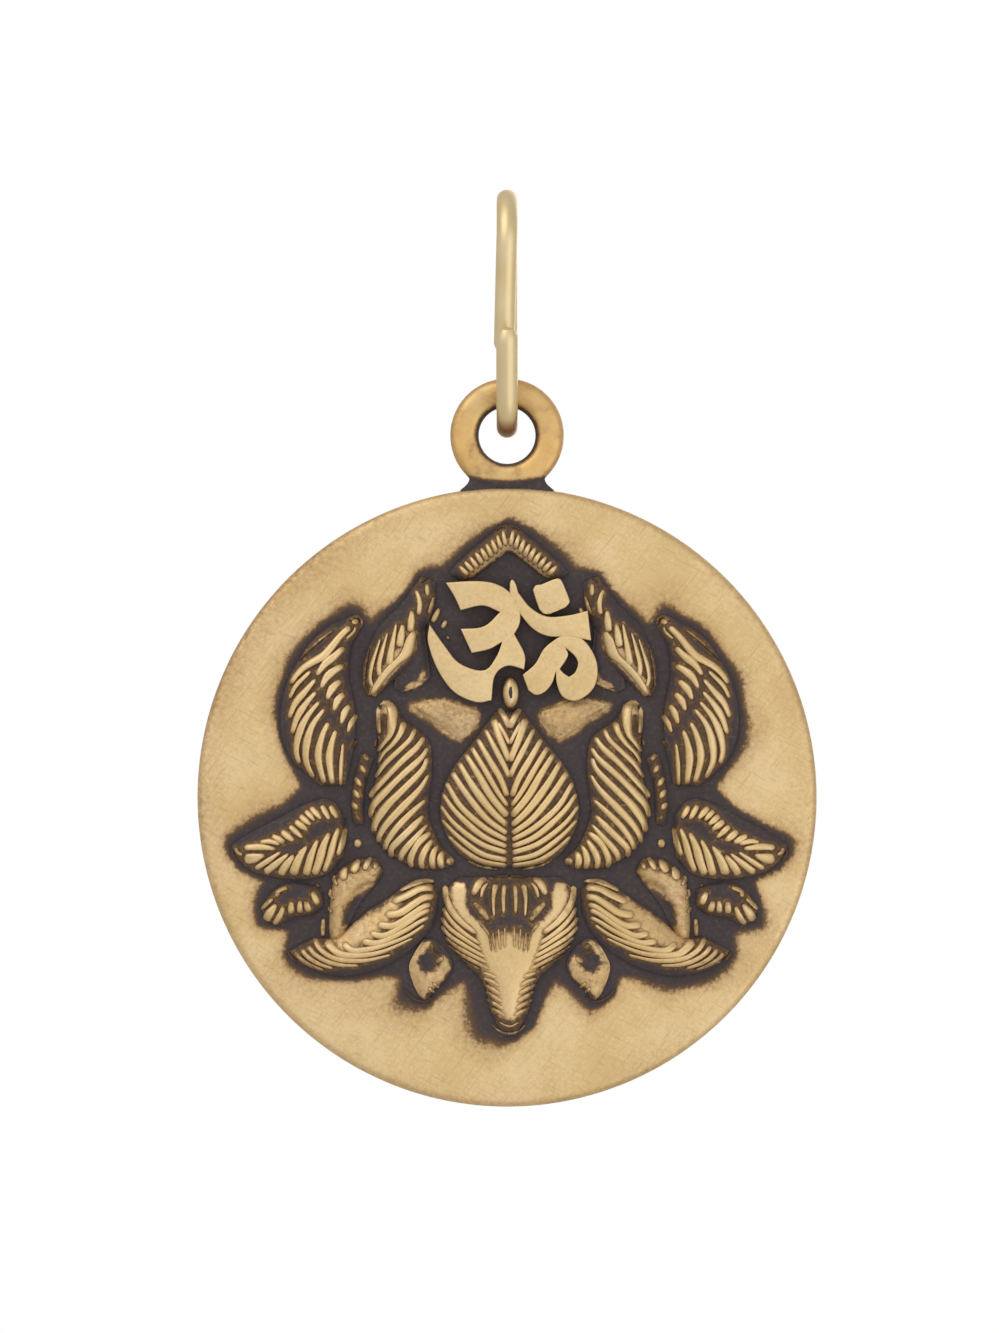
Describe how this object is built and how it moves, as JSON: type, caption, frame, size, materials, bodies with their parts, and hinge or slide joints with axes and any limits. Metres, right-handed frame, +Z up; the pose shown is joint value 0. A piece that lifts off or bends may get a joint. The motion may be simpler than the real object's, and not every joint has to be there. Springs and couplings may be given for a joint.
{
  "type": "lotus charm",
  "caption": "Round cast metal charm with a raised lotus and sign, hanging by its eyelet from a long open wire bail that slips over a chain.",
  "frame": {"origin": "inside top of the bail, where a chain seats", "axes": "+Z up along the hanging charm, front face towards -Y, +X to the right seen from the front"},
  "size_m": [0.025, 0.0046, 0.037],
  "materials": {
    "bail_wire": "polished",
    "antique_brass": "brushed, with dark patina in the recesses"
  },
  "bodies": {
    "bail": {"bail": "bail_wire"},
    "medallion": {"medallion": "antique_brass"}
  },
  "joints": [
    {"name": "medallion_swing", "type": "hinge", "parent": "bail", "child": "medallion", "pos_m": [0, 0, -0.00738], "axis": [1, 0, 0], "range_deg": [-110, 110]}
  ]
}
